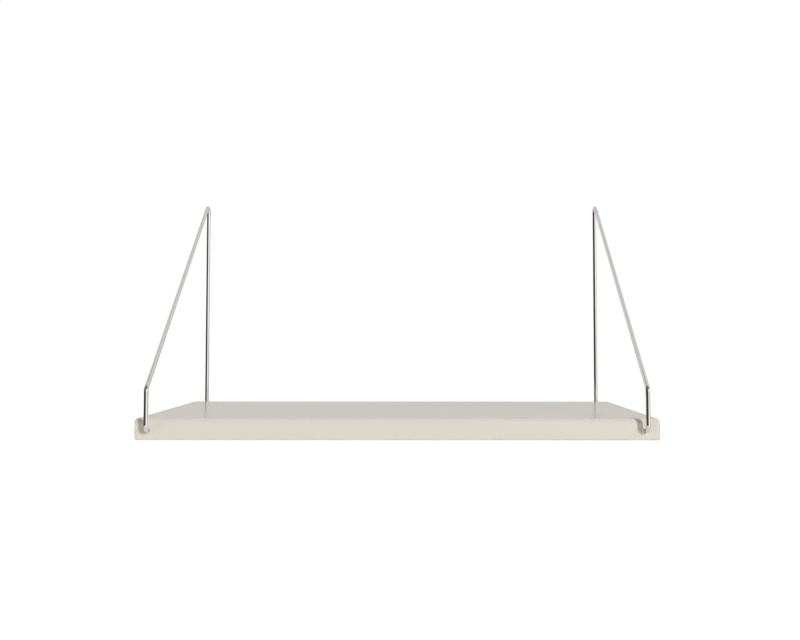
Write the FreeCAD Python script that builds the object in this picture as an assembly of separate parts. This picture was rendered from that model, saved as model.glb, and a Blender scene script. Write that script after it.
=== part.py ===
import FreeCAD, Part
import math
import os

# Wall shelf: a folded steel tray hung on two bent rods. Millimetres.
# X runs along the shelf, Y towards the wall, Z up. The origin is the centre of the tray's top face.

os.makedirs("parts", exist_ok=True)

V = FreeCAD.Vector
along_x, along_y, along_z = V(1, 0, 0), V(0, 1, 0), V(0, 0, 1)
sides = {"left": -1, "right": 1}
ends = {"front": -1, "rear": 1}

# tray
tray_width = 600.0
tray_depth = 270.0
tray_height = 24.5
sheet = 1.5
corner_radius = 5.0            # upright corners, outside
long_bend_radius = 6.5         # front and back edges of the top, outside
end_bend_radius = 4.0          # left and right edges of the top, outside
hem_radius = 2.0               # outside, where a lip turns back up on itself
hem_height = 6.5               # from the tray's bottom edge
hem_end_gap = 3.0              # from the end of a hem to the inside of the next lip

# bracket rods
rod_radius = 2.5
rod_spacing = 566.5            # between the two rods, centre to centre
rod_standoff = 8.8             # rod centre line to the tray's front or back face
hole_drop = 13.8               # top face down to the hole centres
front_corner_height = 34.2     # sharp corner of the front leg and the slope, above the top face
point_height = 287.8           # sharp corner of the slope and the rear leg, above the top face
leg_bend_radius = 8.0          # centre line
point_bend_radius = 5.0        # centre line
rod_end_reach = 11.0           # how far the rod passes inside the lip's outer face
rod_chamfer = 0.5

# hole liners
running_gap = 0.1              # rod in its liner
liner_wall = 0.5
liner_flange = 0.5             # thickness
liner_flange_radius = 4.2
liner_snap_radius = 3.5
liner_snap_length = 0.8
seat_gap = 0.05                # liner barrel in its hole

# wall hooks and plugs
hook_radius = 1.5
hook_gap = 0.4                 # hook to rod, all round
hook_bend_radius = 2.5         # centre line
hook_finger_reach = 2.4        # past the rod's centre line
hook_screw_length = 21.0       # in the plug
thread_depth = 0.3
thread_pitch = 1.5
plug_radius = 2.5
plug_length = 25.0
plug_round_length = 9.0        # smooth stretch behind the wall's face
plug_slot_width = 0.7
plug_barb_height = 0.3
plug_barb_pitch = 2.8
plug_bore_gap = 0.1

front_face_y = -tray_depth / 2
back_face_y = tray_depth / 2
front_leg_y = front_face_y - rod_standoff
rear_leg_y = back_face_y + rod_standoff
wall_y = rear_leg_y + rod_radius
hole_radius = rod_radius + running_gap + liner_wall + seat_gap


def turn_at(before, corner, after, radius):
    """Points where an arc of the given radius leaves one run, crosses the middle, and joins the next."""
    back = (before - corner).normalize()
    on = (after - corner).normalize()
    half = back.getAngle(on) / 2
    reach = radius / math.tan(half)
    middle = (back + on).normalize()
    centre = corner + middle * (radius / math.sin(half))
    return corner + back * reach, centre - middle * radius, corner + on * reach


def bent_rod(points, radii, radius):
    """A round rod along straight runs joined by tangent arcs."""
    edges = []
    start = points[0]
    for before, corner, after, bend in zip(points, points[1:], points[2:], radii):
        first, middle, last = turn_at(before, corner, after, bend)
        edges.append(Part.LineSegment(start, first).toShape())
        edges.append(Part.Arc(first, middle, last).toShape())
        start = last
    edges.append(Part.LineSegment(start, points[-1]).toShape())
    path = Part.Wire(edges)
    first_run = points[1] - points[0]
    profile = Part.Wire(Part.makeCircle(radius, points[0], first_run))
    return path.makePipeShell([profile], True, False)


def edges_along(shape, direction):
    found = []
    for edge in shape.Edges:
        if isinstance(edge.Curve, Part.Line) and abs(edge.Curve.Direction.dot(direction)) > 0.999:
            found.append(edge)
    return found


def rim_edges(shape, height):
    return [e for e in shape.Edges if abs(e.BoundBox.ZMin - height) < 1e-6 and e.BoundBox.ZLength < 1e-6]


def folded_box(inset, bottom):
    """The tray's block, inset all round, with its upright corners and top bends rounded together."""
    width = tray_width - 2 * inset
    depth = tray_depth - 2 * inset
    block = Part.makeBox(width, depth, -inset - bottom, V(-width / 2, -depth / 2, bottom))
    document = FreeCAD.newDocument("rounding")
    base = document.addObject("Part::Feature", "block")
    base.Shape = block
    rounding = document.addObject("Part::Fillet", "rounding")
    rounding.Base = base
    rounds = []
    for number, edge in enumerate(block.Edges, 1):
        size = edge.BoundBox
        if size.ZLength > 1:
            radius = corner_radius - inset
        elif size.ZMin < -inset - 1:
            continue
        elif size.XLength > 1:
            radius = long_bend_radius - inset
        else:
            radius = end_bend_radius - inset
        rounds.append((number, radius, radius))
    rounding.Edges = rounds
    document.recompute()
    shape = rounding.Shape.copy()
    FreeCAD.closeDocument("rounding")
    return shape


def upright_box(inset, top, bottom, corner):
    width = tray_width - 2 * inset
    depth = tray_depth - 2 * inset
    box = Part.makeBox(width, depth, top - bottom, V(-width / 2, -depth / 2, bottom))
    return box.makeFillet(corner, edges_along(box, along_z))


def shelf_tray():
    """A sheet turned down on all four sides, each lip hemmed along its straight run."""
    hem_depth = 2 * hem_radius
    outside = folded_box(0, -tray_height)
    outside = outside.makeFillet(hem_radius - 0.01, rim_edges(outside, -tray_height))

    # the hollow above the hems
    tray = outside.cut(folded_box(sheet, -tray_height + hem_height))

    # the mouth between the hems, its lower rim rounded to finish the fold
    mouth = upright_box(hem_depth, -sheet - 1, -tray_height - 1, corner_radius - hem_depth)
    tray = tray.cut(mouth)
    tray = tray.makeFillet(hem_radius - 0.01, [e for e in rim_edges(tray, -tray_height)
                                               if abs(e.CenterOfMass.x) < tray_width / 2 - hem_radius - 0.5
                                               and abs(e.CenterOfMass.y) < tray_depth / 2 - hem_radius - 0.5])

    # the gap inside each fold
    gap_top = -tray_height + hem_height + 1
    gap_bottom = -tray_height + sheet
    fold_gap = upright_box(sheet, gap_top, gap_bottom, corner_radius - sheet)
    fold_gap = fold_gap.cut(upright_box(hem_depth - sheet, gap_top + 1, gap_bottom - 1,
                                        corner_radius - hem_depth + sheet))
    tray = tray.cut(fold_gap)

    # each hem stops short of the corner
    reach = sheet + hem_end_gap + corner_radius
    for side_x in sides.values():
        for end_y in ends.values():
            corner = upright_box(sheet, -tray_height + hem_height + 1, -tray_height - 1, corner_radius - sheet)
            block = Part.makeBox(reach, reach, tray_height)
            block.translate(V(side_x * tray_width / 2 - (reach if side_x > 0 else 0),
                              end_y * tray_depth / 2 - (reach if end_y > 0 else 0), -1.5 * tray_height))
            tray = tray.cut(corner.common(block))

    for side_x in sides.values():
        for end_y in ends.values():
            hole = Part.makeCylinder(hole_radius, 4 * sheet,
                                     V(side_x * rod_spacing / 2, end_y * back_face_y - 2 * sheet, -hole_drop),
                                     along_y)
            tray = tray.cut(hole)
    return tray.removeSplitter()


def bracket_rod(side_x):
    x = side_x * rod_spacing / 2
    points = [V(x, front_face_y + rod_end_reach, -hole_drop),
              V(x, front_leg_y, -hole_drop),
              V(x, front_leg_y, front_corner_height),
              V(x, rear_leg_y, point_height),
              V(x, rear_leg_y, -hole_drop),
              V(x, back_face_y - rod_end_reach, -hole_drop)]
    radii = [leg_bend_radius, leg_bend_radius, point_bend_radius, leg_bend_radius]
    rod = bent_rod(points, radii, rod_radius)
    end_rings = [e for e in rod.Edges if isinstance(e.Curve, Part.Circle) and e.isClosed()
                 and min(abs(e.Curve.Center.y - points[0].y), abs(e.Curve.Center.y - points[-1].y)) < 1e-6]
    return rod.makeChamfer(rod_chamfer, end_rings)


def hole_liner(side_x, end_y):
    """Flange outside, barrel through the sheet, and a small snap rim inside."""
    bore = rod_radius + running_gap
    barrel = bore + liner_wall
    outline = [V(bore, 0, -liner_flange), V(liner_flange_radius - 0.2, 0, -liner_flange),
               V(liner_flange_radius, 0, -liner_flange + 0.2), V(liner_flange_radius, 0, 0),
               V(barrel, 0, 0), V(barrel, 0, sheet), V(liner_snap_radius, 0, sheet),
               V(barrel, 0, sheet + liner_snap_length), V(bore, 0, sheet + liner_snap_length)]
    face = Part.Face(Part.makePolygon(outline + [outline[0]]))
    ring = face.revolve(V(0, 0, 0), along_z, 360)
    # its axis is turned so that the flange lies outside the lip
    ring.rotate(V(0, 0, 0), along_x, 90 if end_y > 0 else -90)
    ring.translate(V(side_x * rod_spacing / 2, end_y * back_face_y, -hole_drop))
    return ring


def point_centre():
    """Centre of the arc at the rod's top point, in Y and Z."""
    corner = V(0, rear_leg_y, point_height)
    to_front = (V(0, front_leg_y, front_corner_height) - corner).normalize()
    down = V(0, 0, -1)
    half = to_front.getAngle(down) / 2
    return corner + (to_front + down).normalize() * (point_bend_radius / math.sin(half))


def wall_hook(side_x):
    """A screw hook: the screw goes into the wall outside the rod, the finger passes under its point."""
    centre = point_centre()
    rod_x = side_x * rod_spacing / 2
    screw_x = rod_x + side_x * (rod_radius + hook_gap + hook_radius)
    finger_end_x = rod_x - side_x * hook_finger_reach
    screw_end_y = wall_y + hook_screw_length
    points = [V(finger_end_x, centre.y, centre.z), V(screw_x, centre.y, centre.z),
              V(screw_x, screw_end_y, centre.z)]
    hook = bent_rod(points, [hook_bend_radius], hook_radius)
    end_ring = [e for e in hook.Edges if isinstance(e.Curve, Part.Circle) and e.isClosed()
                and abs(e.Curve.Center.x - finger_end_x) < 1e-6]
    hook = hook.makeChamfer(hook_radius / 3, end_ring)

    # screw thread, as rings, and a point
    core = hook_radius - thread_depth
    thread_start = wall_y + 2.0
    outline = [V(hook_radius + 1, 0, thread_start), V(hook_radius, 0, thread_start)]
    count = int((screw_end_y - 4 - thread_start) / thread_pitch)
    for turn in range(count):
        near = thread_start + turn * thread_pitch
        outline.append(V(core, 0, near + 0.3 * thread_pitch))
        outline.append(V(core, 0, near + 0.7 * thread_pitch))
        outline.append(V(hook_radius, 0, near + thread_pitch))
    outline += [V(0.3, 0, screw_end_y), V(0, 0, screw_end_y), V(0, 0, screw_end_y + 1),
                V(hook_radius + 1, 0, screw_end_y + 1)]
    face = Part.Face(Part.makePolygon(outline + [outline[0]]))
    cutter = face.revolve(V(0, 0, 0), along_z, 360)
    cutter.rotate(V(0, 0, 0), along_x, -90)
    cutter.translate(V(screw_x, 0, centre.z))
    return hook.cut(cutter)


def wall_plug(side_x):
    """A split nylon plug with a smooth neck, in the wall around the hook's screw."""
    centre = point_centre()
    screw_x = side_x * (rod_spacing / 2 + rod_radius + hook_gap + hook_radius)
    bore = hook_radius + plug_bore_gap
    far_bore = 0.7
    outline = [V(bore, 0, 0), V(plug_radius - 0.2, 0, 0), V(plug_radius, 0, 0.2),
               V(plug_radius, 0, plug_round_length)]
    barb_end = plug_length - 3
    count = int((barb_end - plug_round_length) / plug_barb_pitch)
    for barb in range(count):
        near = plug_round_length + barb * plug_barb_pitch
        outline.append(V(plug_radius - plug_barb_height, 0, near + 0.2))
        outline.append(V(plug_radius, 0, near + plug_barb_pitch))
    outline += [V(plug_radius - 1.0, 0, plug_length), V(far_bore, 0, plug_length),
                V(far_bore, 0, hook_screw_length + 1.5), V(bore, 0, hook_screw_length + 0.2)]
    face = Part.Face(Part.makePolygon(outline + [outline[0]]))
    plug = face.revolve(V(0, 0, 0), along_z, 360)
    slot_length = plug_length - plug_round_length - 5
    slot = Part.makeBox(4 * plug_radius, plug_slot_width, slot_length,
                        V(-2 * plug_radius, -plug_slot_width / 2, plug_round_length + 1.5))
    plug = plug.cut(slot)
    plug.rotate(V(0, 0, 0), along_x, -90)
    plug.translate(V(screw_x, wall_y, centre.z))
    return plug


def save(shape, name):
    solids = shape.Solids
    assert shape.isValid() and len(solids) == 1, name
    solids[0].exportStep("parts/" + name + ".step")
    box = solids[0].BoundBox
    print("%-26s volume %10.1f  x %8.2f %8.2f  y %8.2f %8.2f  z %8.2f %8.2f"
          % (name, solids[0].Volume, box.XMin, box.XMax, box.YMin, box.YMax, box.ZMin, box.ZMax))


save(shelf_tray(), "shelf_tray")
for side, side_x in sides.items():
    save(bracket_rod(side_x), side + "_bracket_rod")
    save(wall_hook(side_x), side + "_wall_hook")
    save(wall_plug(side_x), side + "_wall_plug")
    for end, end_y in ends.items():
        save(hole_liner(side_x, end_y), end + "_" + side + "_hole_liner")
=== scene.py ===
import bpy
import math
from mathutils import Matrix, Vector


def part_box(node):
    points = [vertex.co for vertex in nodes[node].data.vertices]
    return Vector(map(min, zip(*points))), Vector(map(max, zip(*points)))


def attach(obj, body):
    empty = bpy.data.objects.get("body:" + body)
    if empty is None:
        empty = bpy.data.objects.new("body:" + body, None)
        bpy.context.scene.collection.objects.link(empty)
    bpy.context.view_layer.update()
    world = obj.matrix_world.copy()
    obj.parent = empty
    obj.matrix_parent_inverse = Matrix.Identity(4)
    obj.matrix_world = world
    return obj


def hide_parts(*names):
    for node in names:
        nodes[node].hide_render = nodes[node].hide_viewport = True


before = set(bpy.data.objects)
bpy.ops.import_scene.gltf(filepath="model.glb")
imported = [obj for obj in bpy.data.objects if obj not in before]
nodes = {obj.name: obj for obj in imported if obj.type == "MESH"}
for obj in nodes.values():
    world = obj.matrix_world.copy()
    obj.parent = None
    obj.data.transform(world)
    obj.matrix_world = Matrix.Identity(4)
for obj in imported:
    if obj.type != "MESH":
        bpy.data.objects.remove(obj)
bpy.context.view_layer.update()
trayLow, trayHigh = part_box("shelf_tray")
print("frame loaded:", len(nodes), "nodes")

# metres from the middle of the tray's front top edge, degrees, and millimetres of lens
cameraSetup = {
    "right": 0.0215,
    "back": 0.9987,
    "above": 0.0928,
    "tiltUp": 2.469,
    "roll": 0.025,
    "lens": 39.31,
    "sensor": 36.0,
    "shift": (-0.02015, -0.02584),
}


def makeCamera():
    data = bpy.data.cameras.new("camera")
    data.lens = cameraSetup["lens"]
    data.sensor_width = cameraSetup["sensor"]
    data.shift_x, data.shift_y = cameraSetup["shift"]
    data.clip_start = 0.02
    data.clip_end = 60.0
    camera = bpy.data.objects.new("camera", data)
    bpy.context.scene.collection.objects.link(camera)
    place = Vector((cameraSetup["right"], trayLow.y - cameraSetup["back"], trayHigh.z + cameraSetup["above"]))
    tilt = Matrix.Rotation(math.radians(90 + cameraSetup["tiltUp"]), 4, "X")
    roll = Matrix.Rotation(math.radians(cameraSetup["roll"]), 4, "Z")
    camera.matrix_world = Matrix.Translation(place) @ tilt @ roll
    bpy.context.scene.camera = camera


makeCamera()
print("camera set")


# node helpers
def addNode(tree, kind, **values):
    node = tree.nodes.new(kind)
    for name, value in values.items():
        setattr(node, name, value)
    return node


def mathNode(tree, operation, first, second=None):
    node = addNode(tree, "ShaderNodeMath", operation=operation)
    for socket, value in zip(node.inputs, (first, second)):
        if hasattr(value, "is_output"):
            tree.links.new(value, socket)
        elif value is not None:
            socket.default_value = value
    return node.outputs[0]


def multiply(tree, first, second):
    return mathNode(tree, "MULTIPLY", first, second)


def smoothStep(tree, value, low, high):
    node = addNode(tree, "ShaderNodeMapRange", interpolation_type="SMOOTHSTEP", clamp=True)
    tree.links.new(value, node.inputs["Value"])
    node.inputs["From Min"].default_value = low
    node.inputs["From Max"].default_value = high
    return node.outputs[0]


def mixColours(tree, factor, first, second):
    node = addNode(tree, "ShaderNodeMix", data_type="RGBA")
    for socket, value in ((node.inputs[0], factor), (node.inputs[6], first), (node.inputs[7], second)):
        if hasattr(value, "is_output"):
            tree.links.new(value, socket)
        elif isinstance(value, (int, float)):
            socket.default_value = value
        else:
            socket.default_value = (*value, 1.0)
    return node.outputs[2]


# what the studio's walls, lamps and dark screens look like in the metal, then what lights the surfaces
studio = {
    "backdrop": (1.0, 1.0, 1.0),
    "ceiling": (0.86, 0.86, 0.84),
    "surround": (0.92, 0.903, 0.89),
    "darkLeft": (0.16, 0.145, 0.13),
    "darkBand": (0.07, 0.063, 0.057),
    "darkTop": (0.22, 0.21, 0.20),
    "dimCorner": (0.70, 0.69, 0.68),
    "softbox": (1.22, 1.21, 1.18),
    "softboxTop": (1.42, 1.41, 1.375),
    "backWall": (0.62, 0.61, 0.60),
    "rightWall": (0.80, 0.79, 0.77),
    "darkRight": (0.32, 0.31, 0.30),
    "fillLow": (0.56, 0.553, 0.54),
    "fillFront": (0.24, 0.237, 0.23),
    "fillHigh": (0.735, 0.717, 0.722),
    "fillBack": (1.05, 1.05, 1.05),
    "fillLeft": (1.5, 1.5, 1.48),
    "fillRight": (0.05, 0.05, 0.05),
}
# name, azimuths and elevations in degrees, softness. Azimuth 0 is the front and 90 is the right
screens = (
    ("rightWall", (50, 150), (-30, 25), 6),
    ("dimCorner", (-160, -100), (60, 80), 6),
    ("darkLeft", (-108, -2), (8, 72), 3),
    ("darkBand", (-142, 8), (-15, 10), 3),
    ("darkTop", (-90, 75), (32, 76), 5),
    ("darkRight", (100, 150), (-15, 9), 3),
    ("softbox", (8, 98), (-30, 30), 2),
    ("softboxTop", (8, 98), (1, 28), 2),
)
ceilingRise = (55, 85)
wallBehind = {"azimuths": (148, 158), "elevations": (-10, 14), "soft": 4}


def makeWorld():
    world = bpy.data.worlds.new("studio")
    bpy.context.scene.world = world
    world.use_nodes = True
    world.cycles.sampling_method = "NONE"
    tree = world.node_tree
    tree.nodes.clear()
    direction = addNode(tree, "ShaderNodeTexCoord").outputs["Generated"]
    split = addNode(tree, "ShaderNodeSeparateXYZ")
    tree.links.new(direction, split.inputs[0])
    x, y, z = split.outputs
    azimuth = mathNode(tree, "DEGREES", mathNode(tree, "ARCTAN2", x, multiply(tree, y, -1.0)))
    elevation = mathNode(tree, "DEGREES", mathNode(tree, "ARCSINE", z))

    def band(value, low, high, soft):
        rise = smoothStep(tree, value, low - soft, low + soft)
        fall = smoothStep(tree, value, high + soft, high - soft)
        return multiply(tree, rise, fall)

    # what the polished rods and the coat reflect
    shine = mixColours(tree, smoothStep(tree, elevation, *ceilingRise), studio["surround"], studio["ceiling"])
    for name, azimuths, elevations, soft in screens:
        patch = multiply(tree, band(azimuth, *azimuths, soft), band(elevation, *elevations, soft))
        shine = mixColours(tree, patch, shine, studio[name])
    behind = smoothStep(tree, mathNode(tree, "ABSOLUTE", azimuth), *wallBehind["azimuths"])
    lowDown = band(elevation, *wallBehind["elevations"], wallBehind["soft"])
    shine = mixColours(tree, multiply(tree, behind, lowDown), shine, studio["backWall"])

    # what lights the surfaces
    low = smoothStep(tree, z, 0.35, 0.1)
    fill = mixColours(tree, smoothStep(tree, y, -0.2, 0.3), studio["fillFront"], studio["fillHigh"])
    fill = mixColours(tree, smoothStep(tree, z, 0.0, -0.2), fill, studio["fillLow"])
    for name, way, start, full in (("fillBack", y, 0.0, 0.3), ("fillRight", x, 0.35, 0.8),
                                   ("fillLeft", x, -0.45, -0.85)):
        fill = mixColours(tree, multiply(tree, smoothStep(tree, way, start, full), low), fill, studio[name])

    path = addNode(tree, "ShaderNodeLightPath")
    seen = mixColours(tree, path.outputs["Is Glossy Ray"], fill, shine)
    seen = mixColours(tree, path.outputs["Is Camera Ray"], seen, studio["backdrop"])
    background = addNode(tree, "ShaderNodeBackground")
    tree.links.new(seen, background.inputs["Color"])
    output = addNode(tree, "ShaderNodeOutputWorld")
    tree.links.new(background.outputs[0], output.inputs["Surface"])


makeWorld()

keyLight = {
    "place": (3.60, -4.33, 1.95),
    "reach": 6.2,
    "size": (0.85, 2.6),
    "power": 264.0,
    "colour": (1.0, 0.99, 0.985),
}
bounceLight = {
    "place": (-1.5, -0.55, -0.25),
    "size": (1.2, 1.2),
    "power": 2.2,
    "colour": (1.0, 1.0, 0.99),
}


def makeLight(name, look):
    data = bpy.data.lights.new(name, "AREA")
    data.shape = "ELLIPSE"
    data.size, data.size_y = look["size"]
    data.energy = look["power"]
    data.color = look["colour"]
    if "reach" in look:
        # no fall-off across the shelf
        data.use_nodes = True
        tree = data.node_tree
        falloff = addNode(tree, "ShaderNodeLightFalloff")
        falloff.inputs["Strength"].default_value = 1 / look["reach"] ** 2
        tree.links.new(falloff.outputs["Constant"], tree.nodes["Emission"].inputs["Strength"])
    lamp = bpy.data.objects.new(name, data)
    bpy.context.scene.collection.objects.link(lamp)
    place = Vector(look["place"])
    lamp.matrix_world = Matrix.Translation(place) @ place.to_track_quat("Z", "Y").to_matrix().to_4x4()
    lamp.visible_glossy = False


makeLight("keyLight", keyLight)
makeLight("bounceLight", bounceLight)

floorSetup = {
    "drop": 1.25,
    "radius": 9.0,
    "sides": 96,
    "colour": (0.90, 0.90, 0.89),
    "roughness": 0.9,
    "glow": (0.9, 0.9, 0.9),
}


def principled(name, colour, metallic, roughness):
    material = bpy.data.materials.new(name)
    material.use_nodes = True
    shader = material.node_tree.nodes["Principled BSDF"]
    shader.inputs["Base Color"].default_value = (*colour, 1.0)
    shader.inputs["Metallic"].default_value = metallic
    shader.inputs["Roughness"].default_value = roughness
    return material, material.node_tree, shader


def makeFloor():
    bpy.ops.mesh.primitive_circle_add(vertices=floorSetup["sides"], radius=floorSetup["radius"],
                                      fill_type="NGON", location=(0, 0, trayLow.z - floorSetup["drop"]))
    floor = bpy.context.object
    floor.name = "floor"
    material, tree, shader = principled("paleFloor", floorSetup["colour"], 0.0, floorSetup["roughness"])
    # as pale as the backdrop to the camera, and it lights nothing
    path = addNode(tree, "ShaderNodeLightPath")
    tree.links.new(path.outputs["Is Camera Ray"], shader.inputs["Emission Strength"])
    shader.inputs["Emission Color"].default_value = (*floorSetup["glow"], 1.0)
    floor.data.materials.append(material)
    floor.visible_diffuse = False
    floor.visible_glossy = False


makeFloor()
bpy.context.scene.view_settings.view_transform = "Standard"
print("studio set")


# shared effects, as node groups
def newGroup(name, inputs, outputs):
    group = bpy.data.node_groups.new(name, "ShaderNodeTree")
    for direction, sockets in (("INPUT", inputs), ("OUTPUT", outputs)):
        for label, kind, value in sockets:
            socket = group.interface.new_socket(label, in_out=direction, socket_type=kind)
            if value is not None:
                socket.default_value = value
    return group, addNode(group, "NodeGroupInput"), addNode(group, "NodeGroupOutput")


def noiseNode(tree, vector, scale, detail=2.0, roughness=0.5):
    node = addNode(tree, "ShaderNodeTexNoise")
    tree.links.new(vector, node.inputs["Vector"])
    for label, value in (("Scale", scale), ("Detail", detail), ("Roughness", roughness)):
        if hasattr(value, "is_output"):
            tree.links.new(value, node.inputs[label])
        else:
            node.inputs[label].default_value = value
    return node.outputs["Fac"]


# soft dimples of a sprayed or moulded skin, with a fine speckle. Lengths are in metres
def makeOrangePeel():
    group, start, end = newGroup(
        "orangePeel",
        [("Grain", "NodeSocketFloat", 700.0), ("Depth", "NodeSocketFloat", 0.00001),
         ("Speckle", "NodeSocketFloat", 4000.0)],
        [("Normal", "NodeSocketVector", None), ("Dimples", "NodeSocketFloat", None),
         ("Specks", "NodeSocketFloat", None)])
    place = addNode(group, "ShaderNodeTexCoord").outputs["Object"]
    fine = noiseNode(group, place, start.outputs["Grain"], 1.5)
    broad = noiseNode(group, place, multiply(group, start.outputs["Grain"], 0.3), 1.0)
    dimples = mathNode(group, "ADD", multiply(group, fine, 0.65), multiply(group, broad, 0.35))
    bump = addNode(group, "ShaderNodeBump")
    bump.inputs["Strength"].default_value = 1.0
    group.links.new(start.outputs["Depth"], bump.inputs["Distance"])
    group.links.new(dimples, bump.inputs["Height"])
    specks = smoothStep(group, noiseNode(group, place, start.outputs["Speckle"], 2.0), 0.45, 0.72)
    group.links.new(bump.outputs[0], end.inputs["Normal"])
    group.links.new(dimples, end.inputs["Dimples"])
    group.links.new(specks, end.inputs["Specks"])
    return group


# fine polishing lines along a rod, from a map of turns round it and metres along it
def makeDrawnLines():
    group, start, end = newGroup(
        "drawnLines",
        [("Path", "NodeSocketVector", None), ("Lines", "NodeSocketFloat", 90.0),
         ("Stretch", "NodeSocketFloat", 25.0), ("Depth", "NodeSocketFloat", 0.000001)],
        [("Normal", "NodeSocketVector", None), ("Value", "NodeSocketFloat", None),
         ("Haze", "NodeSocketFloat", None)])
    split = addNode(group, "ShaderNodeSeparateXYZ")
    group.links.new(start.outputs["Path"], split.inputs[0])
    around, along = split.outputs[0], split.outputs[1]
    turn = multiply(group, around, 2 * math.pi)
    spread = multiply(group, start.outputs["Lines"], 1 / (2 * math.pi))
    wrapped = addNode(group, "ShaderNodeCombineXYZ")
    group.links.new(multiply(group, mathNode(group, "COSINE", turn), spread), wrapped.inputs[0])
    group.links.new(multiply(group, mathNode(group, "SINE", turn), spread), wrapped.inputs[1])
    group.links.new(multiply(group, along, start.outputs["Stretch"]), wrapped.inputs[2])
    lines = noiseNode(group, wrapped.outputs[0], 1.0, 3.0, 0.6)
    haze = noiseNode(group, wrapped.outputs[0], 0.12, 2.0, 0.5)
    bump = addNode(group, "ShaderNodeBump")
    bump.inputs["Strength"].default_value = 1.0
    group.links.new(start.outputs["Depth"], bump.inputs["Distance"])
    group.links.new(lines, bump.inputs["Height"])
    group.links.new(bump.outputs[0], end.inputs["Normal"])
    group.links.new(lines, end.inputs["Value"])
    group.links.new(smoothStep(group, haze, 0.35, 0.7), end.inputs["Haze"])
    return group


orangePeel = makeOrangePeel()
drawnLines = makeDrawnLines()


def useGroup(tree, group, **values):
    node = addNode(tree, "ShaderNodeGroup", node_tree=group)
    for label, value in values.items():
        node.inputs[label].default_value = value
    return node


def rangeOf(tree, value, low, high):
    node = addNode(tree, "ShaderNodeMapRange")
    tree.links.new(value, node.inputs["Value"])
    node.inputs["To Min"].default_value = low
    node.inputs["To Max"].default_value = high
    return node.outputs[0]


# a coat or a moulding: one colour with faint specks, soft dimples and uneven gloss
def skinMaterial(name, look):
    material, tree, shader = principled(name, look["colour"], 0.0, look["roughness"][0])
    peel = useGroup(tree, orangePeel, Grain=look["grain"], Depth=look["depth"], Speckle=look["speckle"])
    tree.links.new(mixColours(tree, peel.outputs["Specks"], look["colour"], look["speckColour"]),
                   shader.inputs["Base Color"])
    tree.links.new(rangeOf(tree, peel.outputs["Dimples"], *look["roughness"]), shader.inputs["Roughness"])
    tree.links.new(peel.outputs["Normal"], shader.inputs["Normal"])
    shader.inputs["IOR"].default_value = look["ior"]
    shader.inputs["Specular IOR Level"].default_value = look["shine"]
    return material


def dress(name, material):
    nodes[name].material_slots[0].material = material


tray = {
    "colour": (0.79, 0.738, 0.668),
    "speckColour": (0.77, 0.718, 0.648),
    "roughness": (0.20, 0.25),
    "grain": 650.0,
    "depth": 0.000012,
    "speckle": 3500.0,
    "ior": 1.5,
    "shine": 0.25,
}
dress("shelf_tray", skinMaterial("powderCoat", tray))
print("tray dressed")

rod = {
    "colour": (0.668, 0.654, 0.642),
    "hazeColour": (0.645, 0.631, 0.619),
    "roughness": (0.04, 0.08),
    "lines": 80.0,
    "lineDepth": 0.0000003,
    "stretch": 20.0,
    "radius": 0.00249,
    "x": 0.28325,
    "standY": 0.1438,
    "endY": 0.124,
    "holeZ": -0.0138,
    "cornerZ": 0.0342,
    "pointZ": 0.2878,
    "legBend": 0.008,
    "pointBend": 0.005,
    "endRound": 0.0005,
    "segments": 56,
    "arcStep": 2.5,
    "straightStep": 0.02,
}


# points in Y and Z along straight runs joined by tangent arcs
def bentPath(corners, radii, arcStep):
    points = [corners[0].copy()]
    for before, corner, after, radius in zip(corners, corners[1:], corners[2:], radii):
        back = (before - corner).normalized()
        on = (after - corner).normalized()
        half = back.angle(on) / 2
        centre = corner + (back + on).normalized() * (radius / math.sin(half))
        first = corner + back * (radius / math.tan(half)) - centre
        last = corner + on * (radius / math.tan(half)) - centre
        startAngle = math.atan2(first.y, first.x)
        turn = (math.atan2(last.y, last.x) - startAngle + math.pi) % (2 * math.pi) - math.pi
        count = max(6, round(abs(math.degrees(turn)) / arcStep))
        for step in range(count + 1):
            angle = startAngle + turn * step / count
            points.append(centre + Vector((math.cos(angle), math.sin(angle))) * radius)
    points.append(corners[-1].copy())
    return points


def splitLongRuns(points, longest):
    filled = [points[0]]
    for point in points[1:]:
        run = point - filled[-1]
        parts = max(1, math.ceil(run.length / longest))
        start = filled[-1]
        filled += [start + run * part / parts for part in range(1, parts + 1)]
    return filled


# each ring's centre, radius, sideways direction and distance along the rod, with rounded ends
def rodRings(points):
    rings = []
    distance = 0.0
    for number, point in enumerate(points):
        before = points[max(number - 1, 0)]
        after = points[min(number + 1, len(points) - 1)]
        first = (point - before).normalized() if number else (after - point).normalized()
        second = (after - point).normalized() if number < len(points) - 1 else first
        heading = (first + second).normalized()
        distance += (point - before).length
        rings.append([point, rod["radius"], Vector((-heading.y, heading.x)), distance])
    rounding = rod["endRound"]
    for end, inner in ((0, 1), (-1, -2)):
        centre, radius, side, distance = rings[end]
        inward = (rings[inner][0] - centre).normalized()
        sign = 1 if end == 0 else -1
        steps = []
        for step in range(5):
            angle = math.pi / 2 * step / 4
            inset = rounding * (1 - math.sin(angle))
            steps.append([centre + inward * inset, radius - rounding * (1 - math.cos(angle)), side,
                          distance + sign * inset])
        if end == 0:
            rings = steps[::-1] + rings[1:]
        else:
            rings = rings[:-1] + steps
    return rings


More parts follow.
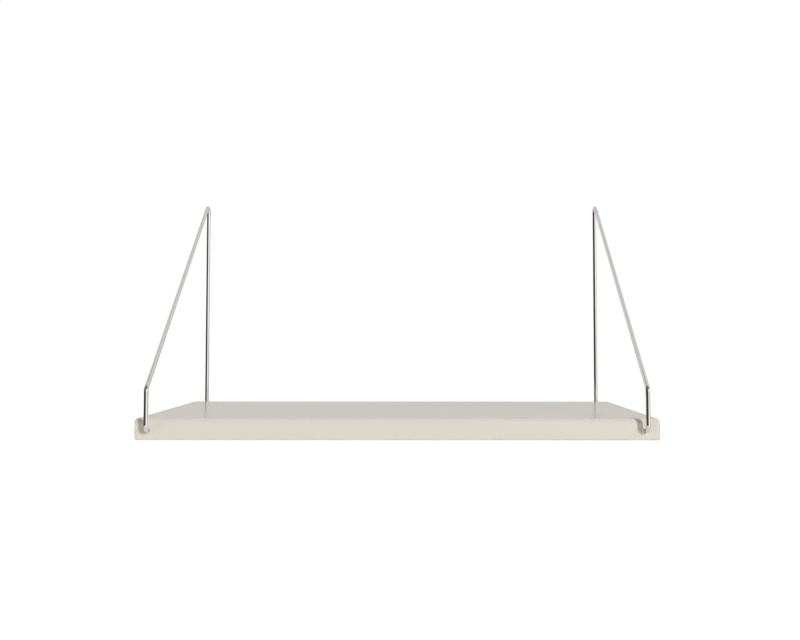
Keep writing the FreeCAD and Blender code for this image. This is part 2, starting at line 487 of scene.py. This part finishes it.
def makeRod(name, side, material):
    corners = [Vector(c) for c in (
        (-rod["endY"], rod["holeZ"]), (-rod["standY"], rod["holeZ"]), (-rod["standY"], rod["cornerZ"]),
        (rod["standY"], rod["pointZ"]), (rod["standY"], rod["holeZ"]), (rod["endY"], rod["holeZ"]))]
    radii = (rod["legBend"], rod["legBend"], rod["pointBend"], rod["legBend"])
    rings = rodRings(splitLongRuns(bentPath(corners, radii, rod["arcStep"]), rod["straightStep"]))
    count = rod["segments"]
    vertices = []
    for centre, radius, across, distance in rings:
        for turn in range(count):
            angle = 2 * math.pi * turn / count
            out = across * (radius * math.sin(angle))
            vertices.append((side * rod["x"] + radius * math.cos(angle), centre.x + out.x, centre.y + out.y))
    faces = []
    maps = []
    for ring in range(len(rings) - 1):
        near, far = ring * count, (ring + 1) * count
        for turn in range(count):
            following = (turn + 1) % count
            faces.append((near + turn, near + following, far + following, far + turn))
            low, high = rings[ring][3], rings[ring + 1][3]
            maps += [(turn / count, low), ((turn + 1) / count, low), ((turn + 1) / count, high),
                     (turn / count, high)]
    last = (len(rings) - 1) * count
    faces.append(tuple(reversed(range(count))))
    faces.append(tuple(range(last, last + count)))
    maps += [(0.0, rings[0][3])] * count + [(0.0, rings[-1][3])] * count
    mesh = bpy.data.meshes.new(name)
    mesh.from_pydata(vertices, [], faces)
    layer = mesh.uv_layers.new(name="path")
    for loop, place in zip(layer.data, maps):
        loop.uv = place
    mesh.shade_smooth()
    for face in mesh.polygons[-2:]:
        face.use_smooth = False
    mesh.validate()
    piece = bpy.data.objects.new(name, mesh)
    bpy.context.scene.collection.objects.link(piece)
    mesh.materials.append(material)
    return piece


def rodMaterial():
    material, tree, shader = principled("polishedRod", rod["colour"], 1.0, rod["roughness"][0])
    path = addNode(tree, "ShaderNodeUVMap", uv_map="path")
    lines = useGroup(tree, drawnLines, Lines=rod["lines"], Stretch=rod["stretch"], Depth=rod["lineDepth"])
    tree.links.new(path.outputs[0], lines.inputs["Path"])
    tree.links.new(mixColours(tree, lines.outputs["Haze"], rod["colour"], rod["hazeColour"]),
                   shader.inputs["Base Color"])
    tree.links.new(rangeOf(tree, lines.outputs["Haze"], *rod["roughness"]), shader.inputs["Roughness"])
    tree.links.new(lines.outputs["Normal"], shader.inputs["Normal"])
    return material


rodMetal = rodMaterial()
for sideName, side in (("left", -1), ("right", 1)):
    piece = makeRod(sideName + "BracketRod", side, rodMetal)
    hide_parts(sideName + "_bracket_rod")
    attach(piece, sideName + "_bracket")
print("rods built")

liner = {
    "colour": (0.80, 0.75, 0.68),
    "speckColour": (0.78, 0.73, 0.66),
    "roughness": (0.38, 0.48),
    "grain": 2500.0,
    "depth": 0.000004,
    "speckle": 9000.0,
    "ior": 1.53,
    "shine": 0.5,
}
linerNylon = skinMaterial("creamNylon", liner)
for endName in ("front", "rear"):
    for sideName in ("left", "right"):
        dress(endName + "_" + sideName + "_hole_liner", linerNylon)

hook = {
    "colour": (0.78, 0.78, 0.77),
    "spangleColour": (0.66, 0.67, 0.68),
    "roughness": (0.2, 0.32),
    "spangle": 900.0,
    "grain": 5000.0,
    "depth": 0.0000015,
    "speckle": 12000.0,
}


def hookMaterial():
    material, tree, shader = principled("zincPlate", hook["colour"], 1.0, hook["roughness"][0])
    peel = useGroup(tree, orangePeel, Grain=hook["grain"], Depth=hook["depth"], Speckle=hook["speckle"])
    spangle = addNode(tree, "ShaderNodeTexVoronoi")
    spangle.inputs["Scale"].default_value = hook["spangle"]
    tree.links.new(addNode(tree, "ShaderNodeTexCoord").outputs["Object"], spangle.inputs["Vector"])
    shade = addNode(tree, "ShaderNodeSeparateXYZ")
    tree.links.new(spangle.outputs["Color"], shade.inputs[0])
    tree.links.new(mixColours(tree, shade.outputs[0], hook["colour"], hook["spangleColour"]),
                   shader.inputs["Base Color"])
    tree.links.new(rangeOf(tree, peel.outputs["Dimples"], *hook["roughness"]), shader.inputs["Roughness"])
    tree.links.new(peel.outputs["Normal"], shader.inputs["Normal"])
    return material


hookZinc = hookMaterial()
for sideName in ("left", "right"):
    dress(sideName + "_wall_hook", hookZinc)

plug = {
    "colour": (0.90, 0.90, 0.89),
    "speckColour": (0.88, 0.88, 0.87),
    "roughness": (0.45, 0.58),
    "grain": 2200.0,
    "depth": 0.000008,
    "speckle": 7000.0,
    "ior": 1.53,
    "shine": 0.5,
}
plugNylon = skinMaterial("whiteNylon", plug)
for sideName in ("left", "right"):
    dress(sideName + "_wall_plug", plugNylon)
print("small parts dressed")
